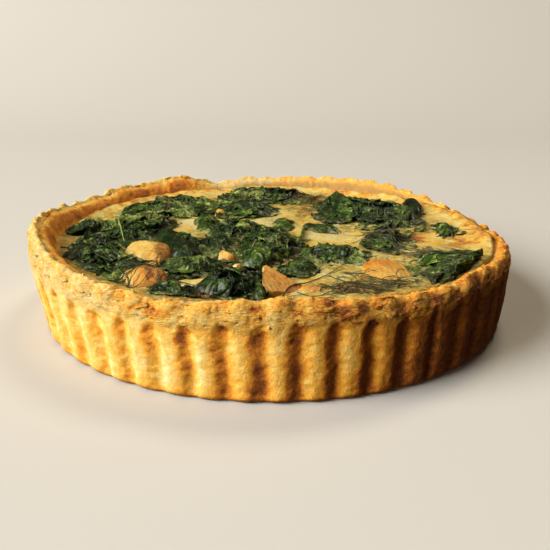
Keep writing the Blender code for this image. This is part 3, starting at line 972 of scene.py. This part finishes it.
def crumple(flat, seed, strength=1.0):
    """How a wilting leaf moves out of its flat shape: soft folds with creases between them."""
    own = flat * (0.6, 1.15, 1) + np.array((0.31, 0.17, 0.0)) * (seed % 97)
    shift = np.zeros_like(flat)
    for number, (wave, amount) in enumerate(FOLDS):
        for side in range(3):
            push = lumps(own, wave, seed + 5 * number + side)
            if side == 2:
                push = 1.1 * (0.45 - 1.5 * np.abs(push))
            shift[:, side] += push * amount * strength
    return shift


def within(x, y, middle, length, width, turn):
    """How far out places are in an oval: 0 in its middle, 1 on its outline."""
    off = turned(np.stack([x - middle[0] * MM, y - middle[1] * MM, x * 0], 1), -turn)
    away = np.hypot(off[:, 0] / (length * MM / 2), off[:, 1] / (width * MM / 2))
    return away * (1 + 0.16 * lumps(np.stack([x, y, x * 0], 1), 11 * MM, 150))


def heap_height(x, y, heap):
    """Height of a heap over the custard, below zero where the custard covers it."""
    _, middle, (length, width, rise), turn, leaves_middle, leaves_size, leaves_turn = heap
    away = within(x, y, middle, length, width, turn)
    dome = rise * MM * np.clip(1 - away**2.4, 0, 1) ** 0.7
    away = within(x, y, leaves_middle, *leaves_size, leaves_turn)
    skirt = 1.0 * MM * (1 - eased(0.45, 0.95, away)) - 4.0 * MM * eased(0.76, 1.2, away)
    return np.maximum(dome, skirt)


def kept_inside(lying, shift):
    """Leaves that would reach the crust are pressed back and flatter against it."""
    reach = np.hypot(lying[:, 0], lying[:, 1])
    ragged = 3.4 * lumps(lying * (1, 1, 0), 6 * MM, 36)
    beyond = np.clip(reach / MM - LEAF_REACH - ragged, 0, None)
    back = beyond - LEAF_GIVE * np.tanh(beyond / LEAF_GIVE)
    lying[:, :2] *= ((reach - back * MM) / reach)[:, None]
    shift[:, 2] *= 1 - 0.7 * eased(102 * MM, 112 * MM, reach)


def wilted_leaf(name, size, outline, seed, strength, moves):
    """A crumpled leaf, turned and moved in steps: itself, its corners, folds, and own u and v."""
    leaf, flat, u, v = flat_leaf(name, *size, outline)
    shift = crumple(flat, seed, strength)
    lying = flat + shift * (1, 1, 0)
    for turn, spot in moves:
        lying = turned(lying, turn) + (*spot, 0)
    kept_inside(lying, shift)
    lying[:, 2] = custard_level(lying[:, 0], lying[:, 1])
    return leaf, lying, shift[:, 2], u, v


def finish_leaf(leaf, places, tone):
    press_into_place(leaf, places)
    note(leaf, "tone", tone)
    give_thickness(leaf, LEAF_THICK)


def depth_in_heap(places):
    """How far each place lies below the mean of the highest places round it."""
    column = np.floor(places[:, :2] / HOLLOW_CELL).astype(int)
    column -= column.min(0) - 2
    tops = np.full(column.max(0) + 3, -1.0)
    np.maximum.at(tops, (column[:, 0], column[:, 1]), places[:, 2])
    around = np.stack([np.roll(tops, (i, j), (0, 1)) for i in (-1, 0, 1) for j in (-1, 0, 1)])
    known = around > 0
    level = (around * known).sum(0) / np.maximum(known.sum(0), 1)
    return level[column[:, 0], column[:, 1]] - places[:, 2]


spinach = Finish("wilted spinach")
tone, blotches = spinach.mottled(spinach.noted("tone"), 0.26, 8 * MM, 3, 0.6)
# The wrinkles that bump the leaves also lighten their crests and darken their creases: painted
# light and shade
tone, wrinkles = spinach.mottled(tone, 0.27, 3.0 * MM, 3.2, 0.55, 1.6, Low=0.34, High=0.66)
film = spinach.span(spinach.grain(3.5 * MM, 4, 0.6), 0.45, 0.68)
film = spinach.sums("MULTIPLY", film, spinach.noted("film"))
leaf_colour = spinach.mixed(film, spinach.ramp(tone, LEAF_COLOURS), LEAF_FILM)
# Painted shade in the hollows of a heap
hollow_shade = spinach.sums("MULTIPLY", spinach.noted("hollow_shade"), 0.9)
spinach.shade(
    {
        "Base Color": spinach.mixed(hollow_shade, leaf_colour, LEAF_HOLLOW_SHADE),
        "Roughness": spinach.span(blotches, 0.3, 0.7, 0.24, 0.40),
        "Normal": spinach.bumped(wrinkles, 1.5 * MM),
        "Specular IOR Level": 0.12,
        "Coat Weight": 0.24,
        "Coat Roughness": 0.21,
    }
)

for heap_number, heap in enumerate(SPINACH):
    name, middle, (length, width, rise), turn, leaves_middle, leaves_size, leaves_turn = heap
    chance = np.random.default_rng(100 + heap_number)
    seed = 200 + 40 * heap_number
    # The mound under the leaves
    mound_size = length * 1.2 * MM, width * 1.2 * MM
    moves = ((turn, np.array(middle) * MM),)
    core, lying, folds, u, v = wilted_leaf(
        f"{name}_spinach_leaves", mound_size, heap_number, seed, 0.8, moves
    )
    lying[:, 2] += heap_height(lying[:, 0], lying[:, 1], heap) * 0.8 + folds * 0.7
    lying[:, 2] -= 3 * MM * eased(0.75, 1.0, np.maximum(np.abs(u), np.abs(v)))
    # The leaf is lighter where its folds rise and darker where they sink: painted light and shade
    finish_leaf(core, lying, 0.25 + 0.1 * lumps(lying, 8 * MM, seed) + 0.05 * folds / MM)
    leaves = [core]
    # The leaves over it, dealt out evenly over the heap's oval
    heap_long, heap_broad = leaves_size
    count = max(4, round(heap_long * heap_broad * OVAL_SHARE * LEAF_LAYERS / LEAF_AREA))
    for number in range(count):
        seed += 17
        long = chance.uniform(16, min(32, max(19, heap_long * 0.8))) * MM
        broad = long * chance.uniform(0.55, 0.78)
        way = LEAF_DEALT * number + chance.normal(0, 0.3)
        off = math.sqrt((number + 0.5) / count) * 0.86
        spot = (
            math.cos(way) * off * (heap_long * MM - long * 0.5) / 2,
            math.sin(way) * off * (heap_broad * MM - broad * 0.5) / 2,
        )
        own_turn = chance.normal(0, 30) + (90 if chance.random() < 0.25 else 0)
        strength = chance.uniform(0.55, 1.25)
        moves = (own_turn, spot), (leaves_turn, np.array(leaves_middle) * MM)
        leaf, lying, folds, u, v = wilted_leaf(
            f"leaf_{name}_{number}", (long, broad), seed, seed, strength, moves
        )
        curl = np.where(v > 0, *chance.normal(0, 1.1, 2)) * np.abs(v) ** 3 * MM
        tip = chance.uniform(-2.0, 0.8) * MM * np.abs(u) ** 3
        mound = heap_height(lying[:, 0], lying[:, 1], heap)
        lying[:, 2] += mound + folds * (0.5 + 0.5 * eased(-1 * MM, 3 * MM, mound)) + curl + tip
        lying[:, 2] += chance.uniform(-0.4, 0.7) * MM
        # Lighter where the folds rise and darker where they sink: painted light and shade
        tone = 0.34 + chance.normal(0, 0.15) + 0.08 * folds / MM
        tone = tone + 0.14 * lumps(lying, 22 * MM, 152) + 0.12 * lumps(lying, 9 * MM, seed)
        midrib = 0.16 * (1 - eased(0.0, 0.09, np.abs(v)))
        finish_leaf(leaf, lying, tone + midrib + sum(near_spots(lying, LEAF_TONES)))
        leaves.append(leaf)
    # The folded leaves that stand up from it
    for spot, size, own_turn, fold, strength, green in FOLDED_LEAVES.get(name, ()):
        seed += 17
        moves = ((own_turn, np.array(spot) * MM),)
        leaf, lying, folds, u, v = wilted_leaf(
            f"leaf_{name}_folded", np.array(size) * MM, seed, seed, strength, moves
        )
        tent = fold * (1 - np.abs(v) ** 1.5) * (1 - np.abs(u) ** 4)
        tent = tent - 3 * np.maximum(np.abs(u), np.abs(v)) ** 6
        lying[:, 2] += tent * MM + folds * 0.5
        # Lighter where the folds rise and darker where they sink: painted light and shade
        finish_leaf(leaf, lying, green + 0.08 * lumps(lying, 7 * MM, seed) + 0.07 * folds / MM)
        leaves.append(leaf)
    joined(leaves)
    lying = places_of(core)
    above = lying[:, 2] - custard_level(lying[:, 0], lying[:, 1])
    filmed = 1 - eased(-0.2 * MM, 2.2 * MM, above) + 0.25 * lumps(lying, 12 * MM, 151)
    # Painted shade, deepest where a place lies far below the tops of the heap round it
    note(core, "hollow_shade", eased(-0.5 * MM, 2.4 * MM, depth_in_heap(lying)))
    note(core, "film", np.clip(filmed, 0, 1))
    core.data.materials.append(spinach.material)
    toppings.append(core.name)
    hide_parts(f"spinach_{name}")
    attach(core, "root")

# ------------------------------------------------------------------------------------------
# The custard. Eggs and cream poured round the spinach and salmon and baked until set: a satin
# skin that clings to what stands in it and is browned in patches.
CUSTARD_REACH = 110.6 * MM
CUSTARD_STEP = 0.72 * MM
CUSTARD_FOOT = 6.0 * MM
CUSTARD_TAPER = 0.94  # of its width at the top
CUSTARD_COLOURS = (  # from pale cream to browned
    (0.00, (0.60, 0.53, 0.25)), (0.28, (0.61, 0.47, 0.130)), (0.52, (0.63, 0.41, 0.055)),
    (0.80, (0.54, 0.22, 0.025)), (1.00, (0.34, 0.11, 0.02)),
)
LEAFY_CUSTARD = (0.125, 0.125, 0.030)
CUSTARD_PATCHES = (  # mm right, mm back, width in mm, how much browner or paler
    (60, 76, 44, 0.26), (90, 48, 34, 0.26), (84, 5, 60, 0.12), (90, -35, 30, 0.08),
    (31, -21, 14, 0.50), (68, -8, 18, 0.42), (76, -14, 14, 0.34), (94, -34, 20, -0.24),
    (97, -14, 14, 0.35), (104, 8, 12, 0.40), (72, 2, 14, 0.30), (20, 70, 30, 0.35),
    (22, 45, 24, 0.25), (-50, 22, 18, -0.30), (-10, 26, 24, -0.25), (-97, -28, 14, 0.25),
    (25, -15, 30, -0.10), (20, -64, 12, -0.20), (-60, 60, 20, -0.20), (-35, -80, 20, -0.25),
    (-75, 75, 24, 0.25), (38, -88, 16, 0.30), (15, -100, 16, 0.20), (-35, -12, 20, 0.10),
)
LEAFY_PATCHES = (  # bits of leaf and dill just under the skin: the same, from 0 none to 1 thick
    (42, -84, 52, 1.0), (33, -66, 34, 0.9), (64, -86, 24, 1.0), (45, -72, 38, 0.8),
    (24, -84, 22, 0.6), (-64, -66, 34, 0.8), (-56, 62, 24, 0.7), (-66, -78, 22, 0.8),
    (-22, 70, 16, 0.7), (5, 22, 26, 0.6), (-36, -2, 26, 0.6), (58, -66, 20, 0.8),
    (22, 82, 26, 0.4), (30, 14, 30, 0.6), (-92, 26, 22, 0.5), (5, 62, 22, 0.5),
)

bpy.ops.object.select_all(action="DESELECT")
square = 2.02 * CUSTARD_REACH
cells = round(square / CUSTARD_STEP)
bpy.ops.mesh.primitive_grid_add(x_subdivisions=cells, y_subdivisions=cells, size=square)
custard = bpy.context.object
custard.name = "custard"
lying = places_of(custard)
pick_corners(custard, np.hypot(lying[:, 0], lying[:, 1]) > CUSTARD_REACH)
bpy.ops.mesh.delete(type="VERT")
bpy.ops.mesh.select_all(action="SELECT")
bpy.ops.mesh.region_to_loop()
bpy.ops.object.mode_set(mode="OBJECT")
at_edge = np.zeros(len(custard.data.vertices), bool)
custard.data.vertices.foreach_get("select", at_edge)
lying = places_of(custard)
reach = np.hypot(lying[:, 0], lying[:, 1])
lying[at_edge, :2] *= (CUSTARD_REACH / reach[at_edge])[:, None]
lying[:, 2] = custard_level(lying[:, 0], lying[:, 1])
skin = 0.10 * lumps(lying, 3 * MM, 22) + 0.05 * lumps(lying, 1.5 * MM, 23)
lying[:, 2] += skin * MM
press_into_place(custard, lying)
browned = 0.30 + 0.30 * lumps(lying, 16 * MM, 24) + 0.30 * lumps(lying, 6 * MM, 25)
browned = browned + sum(near_spots(lying, CUSTARD_PATCHES, 0.35 * lumps(lying, 5 * MM, 26)))
edge = eased(99 * MM, 108 * MM, np.hypot(lying[:, 0], lying[:, 1]))
edge = edge * (1 + 0.8 * lumps(lying, 9 * MM, 35))
note(custard, "baked", np.clip(browned + 0.24 * edge, 0, 1))
leafy = np.zeros(len(lying))
for _, _, _, _, leaves_middle, leaves_size, leaves_turn in SPINACH:
    away = within(lying[:, 0], lying[:, 1], leaves_middle, *leaves_size, leaves_turn)
    leafy = np.maximum(leafy, 1 - eased(0.85, 1.30, away))
for patch in near_spots(lying, LEAFY_PATCHES, 0.35 * lumps(lying, 5 * MM, 29)):
    leafy = np.maximum(leafy, patch)
note(custard, "leafy", np.clip(leafy * (1.1 + 0.8 * lumps(lying, 4 * MM, 30)), 0, 1))
bpy.ops.object.mode_set(mode="EDIT")
bpy.ops.mesh.extrude_region_move(TRANSFORM_OT_translate={"value": (0, 0, 0)})
bpy.ops.transform.resize(
    value=(CUSTARD_TAPER, CUSTARD_TAPER, 0), center_override=(0, 0, CUSTARD_FOOT)
)
bpy.ops.mesh.edge_face_add()
bpy.ops.object.mode_set(mode="OBJECT")
bpy.ops.object.shade_smooth()

set_custard = Finish("set custard")
browned, skin_grain = set_custard.mottled(
    set_custard.noted("baked"), 0.42, 3.5 * MM, 5, 0.65, 0.5, Low=0.32, High=0.68
)
browned, _ = set_custard.mottled(browned, 0.14, 1.4 * MM, 3, 0.6)
leafy = set_custard.span(set_custard.grain(2.2 * MM, 4, 0.7), 0.38, 0.58)
leafy = set_custard.sums("MULTIPLY", set_custard.noted("leafy"), leafy)
custard_colour = set_custard.ramp(browned, CUSTARD_COLOURS)
skin_relief = set_custard.bumped(set_custard.grain(1.1 * MM, 3, 0.6), 0.25 * MM)
set_custard.shade(
    {
        "Base Color": set_custard.mixed(leafy, custard_colour, LEAFY_CUSTARD),
        "Normal": set_custard.bumped(skin_grain, 0.7 * MM, skin_relief),
        "Roughness": 0.42,
        "Subsurface Weight": 0.10,
        "Subsurface Radius": (0.003, 0.002, 0.001),
    }
)
custard.data.materials.append(set_custard.material)
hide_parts("filling")
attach(custard, "root")

# ------------------------------------------------------------------------------------------
# The dill, one pale spinach stalk and one curl of stem that baked brown. The dill's sprigs were
# strewn over the top before baking: thin curved stems that branch into fronds as fine as hair,
# dried dark green and in places brown, lying on whatever is under them.
DILL_STEMS = {  # bunch: thickness in mm, lift in mm, points of its way (mm right, mm back)
    "dill_front": (
        (0.80, 0.5, ((3, -101), (7, -87), (14, -79), (25, -67), (33, -53))),
        (0.45, 0.3, ((10, -90), (15, -96), (22, -95), (29, -92))),
        (0.40, 0.3, ((20, -94), (27, -88), (38, -88), (48, -84))),
        (0.45, 0.5, ((24, -70), (30, -78), (36, -88), (38, -97))),
        (0.40, 0.4, ((0, -104), (6, -97), (13, -93), (20, -88))),
    ),
    "dill_left": (
        (0.55, 0.4, ((-45, -80), (-38, -78), (-33, -83), (-27, -92))),
        (0.45, 0.3, ((-72, -56), (-62, -55), (-52, -58), (-43, -62))),
        (0.45, 0.5, ((-57, -90), (-53, -82), (-50, -74), (-51, -66))),
    ),
    "dill_right": ((0.50, 0.6, ((46, 2), (52, -16), (60, -34), (66, -50))),),
    "dill_back": ((0.60, 0.5, ((16, 62), (22, 74), (28, 86), (32, 98))),),
    "browned_curl": (
        (1.3, 0.9, ((-28.4, -103), (-28.2, -99), (-26.5, -96.8), (-24.7, -99), (-24.6, -103))),
    ),
    "spinach_stalk": ((1.5, 0.5, ((-90, 27), (-84, 15), (-79, -3), (-74, -19))),),
}
DILL_FRONDS = {  # bunch: foot (mm right, mm back), way from +X, length in mm, spread, threads
    "dill_front": (
        ((35, -98), 95, 24, 34, 15), ((40, -99), 70, 22, 38, 13), ((31, -96), 120, 22, 30, 10),
        ((26, -92), 20, 20, 28, 8), ((44, -90), 60, 20, 44, 10), ((52, -88), 110, 18, 48, 9),
        ((60, -80), 130, 20, 44, 9), ((33, -80), 10, 18, 36, 8), ((28, -66), -20, 20, 30, 8),
        ((17, -82), -10, 16, 30, 5),
    ),
    "dill_left": (
        ((-60, -92), 84, 22, 16, 8), ((-66, -84), 62, 18, 20, 7), ((-72, -60), 4, 30, 14, 14),
        ((-70, -62), -8, 26, 14, 10), ((-52, -58), -20, 18, 26, 10), ((-45, -92), 100, 16, 40, 9),
        ((-66, -70), -10, 14, 40, 9), ((-36, -98), 60, 14, 40, 8),
    ),
    "dill_right": (
        ((46, 2), -70, 30, 24, 16), ((56, -28), -60, 26, 30, 14), ((66, -60), -80, 22, 30, 12),
        ((52, -10), -30, 24, 30, 12), ((66, -30), -40, 26, 34, 16), ((72, -70), 30, 22, 36, 12),
        ((70, 10), 60, 26, 26, 9), ((58, 20), 100, 26, 30, 8),
    ),
    "dill_back": (
        ((18, 60), 70, 36, 22, 18), ((24, 72), 84, 28, 26, 14), ((12, 72), 60, 22, 26, 8),
        ((28, 40), 110, 24, 30, 8), ((-20, 60), 80, 24, 26, 7), ((-56, 40), 120, 24, 24, 7),
    ),
}
DILL_THREAD = 0.34  # mm thick at its foot
DILL_STEP = 1.6 * MM
DILL_REACH = 106.0 * MM
THREAD_TAPER = 0.65  # how much thinner the tip is
HAIR = (0, 0.9, 1.8, 2.5)  # steps from its foot to its tip
HAIR_THREAD = 0.7 * DILL_THREAD
DILL_COLOURS = {  # bunch: dark, light
    "dill_front": ((0.010, 0.011, 0.003), (0.052, 0.050, 0.012)),
    "dill_left": ((0.012, 0.018, 0.005), (0.060, 0.075, 0.020)),
    "dill_right": ((0.030, 0.035, 0.014), (0.130, 0.130, 0.055)),
    "dill_back": ((0.060, 0.034, 0.006), (0.220, 0.140, 0.034)),
    "browned_curl": ((0.060, 0.014, 0.004), (0.17, 0.052, 0.012)),
    "spinach_stalk": ((0.13, 0.19, 0.030), (0.34, 0.37, 0.10)),
}

under_dill = [custard, *(bpy.data.objects[name] for name in toppings)]
depsgraph = bpy.context.evaluated_depsgraph_get()
surfaces = [BVHTree.FromObject(piece, depsgraph) for piece in under_dill]


def top_at(x, y):
    """Height of whatever a thread would land on."""
    above, down = Vector((x, y, ABOVE_IT)), Vector((0, 0, -1))
    found = [surface.ray_cast(above, down)[0] for surface in surfaces]
    return max(spot.z for spot in found if spot is not None)


def laid(points, lift):
    """Points of a thread settled on the top, so stiff that it bridges the small hollows."""
    points = np.array(points, float)
    reach = np.hypot(points[:, 0], points[:, 1])
    points *= np.minimum(1, DILL_REACH / reach)[:, None]
    below = np.array([top_at(x, y) for x, y in points])
    line = below.copy()
    for _ in range(4):
        line[1:-1] = np.maximum((line[:-2] + line[2:]) / 2, (line[1:-1] + below[1:-1]) / 2)
    return np.column_stack([points, np.maximum(line, below) + lift])


def curve_through(corners, step):
    """Evenly spaced points on a smooth line through a few corners."""
    corners = np.array(corners, float) * MM
    along = np.linspace(0, len(corners) - 1, 40)
    ends = np.vstack([2 * corners[0] - corners[1], corners, 2 * corners[-1] - corners[-2]])
    number = np.minimum(along.astype(int), len(corners) - 2)
    part = (along - number)[:, None]
    a, b, c, d = (ends[number + shift] for shift in range(4))
    line = 2 * b + (c - a) * part
    line = line + (2 * a - 5 * b + 4 * c - d) * part**2 + (3 * b - 3 * c + d - a) * part**3
    line = line / 2
    length = np.linalg.norm(np.diff(line, axis=0), axis=1).sum()
    return line[np.linspace(0, 39, max(3, round(length / step))).round().astype(int)]


def heading_to(way):
    return np.array((math.cos(way), math.sin(way)))


def add_thread(bunch, places, thick):
    """Adds one thread to a bunch, thinner towards its tip."""
    thread = bunch.splines.new("POLY")
    thread.points.add(len(places) - 1)
    for number, (point, spot) in enumerate(zip(thread.points, places)):
        point.co = (*spot, 1)
        point.radius = thick * (1 - THREAD_TAPER * number / (len(places) - 1))


def grow_thread(bunch, foot, way, length, spread):
    """A thread leaves the frond's middle line, bends to one side and has one to three hairs."""
    start = chance.uniform(0, 0.6) * length * MM
    heading = math.radians(way)
    spot = np.array(foot) * MM + start * heading_to(heading)
    spot = spot + chance.normal(0, 0.7, 2) * MM
    heading = heading + math.radians(chance.normal(0, spread))
    bend = math.radians(chance.normal(0, 15))
    steps = round(chance.uniform(0.35, 0.75) * length * MM / DILL_STEP)
    places = [spot]
    for _ in range(max(3, steps)):
        heading += bend + math.radians(chance.normal(0, 8))
        spot = spot + DILL_STEP * heading_to(heading)
        places.append(spot)
    lift = chance.uniform(0.1, 0.9) * MM
    add_thread(bunch, laid(places, lift), DILL_THREAD * chance.uniform(0.7, 1.2))
    for _ in range(chance.integers(1, 4)):
        knot = places[chance.integers(1, len(places))]
        off = heading + math.radians(chance.choice((-1, 1)) * chance.uniform(20, 55))
        hair = [knot + DILL_STEP * ahead * heading_to(off) for ahead in HAIR]
        add_thread(bunch, laid(hair, lift), HAIR_THREAD)


bunches = {}
for name, stems in DILL_STEMS.items():
    bunch = bpy.data.curves.new(name, "CURVE")
    bunch.dimensions = "3D"
    bunch.bevel_depth = MM / 2
    bunch.bevel_resolution = 0
    bunch.use_fill_caps = True
    bunches[name] = bunch
    for thick, lift, corners in stems:
        add_thread(bunch, laid(curve_through(corners, DILL_STEP), lift * MM), thick)

chance = np.random.default_rng(11)
for name, fronds in DILL_FRONDS.items():
    for *frond, threads in fronds:
        for _ in range(threads):
            grow_thread(bunches[name], *frond)

for name, bunch in bunches.items():
    sprig = bpy.data.objects.new(name, bunch)
    bpy.context.collection.objects.link(sprig)
    bpy.ops.object.select_all(action="DESELECT")
    sprig.select_set(True)
    bpy.context.view_layer.objects.active = sprig
    bpy.ops.object.convert(target="MESH")
    sprig = bpy.context.object
    bpy.ops.object.shade_smooth()
    dark, light = DILL_COLOURS[name]
    dried = Finish(name.replace("_", " "))
    dried.shade(
        {
            "Base Color": dried.ramp(dried.grain(5 * MM, 4, 0.6), ((0.35, dark), (0.68, light))),
            "Normal": dried.bumped(dried.grain(0.4 * MM, 2), 0.1 * MM),
            "Roughness": 0.5,
            "Specular IOR Level": 0.4,
        }
    )
    sprig.data.materials.append(dried.material)
    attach(sprig, "root")
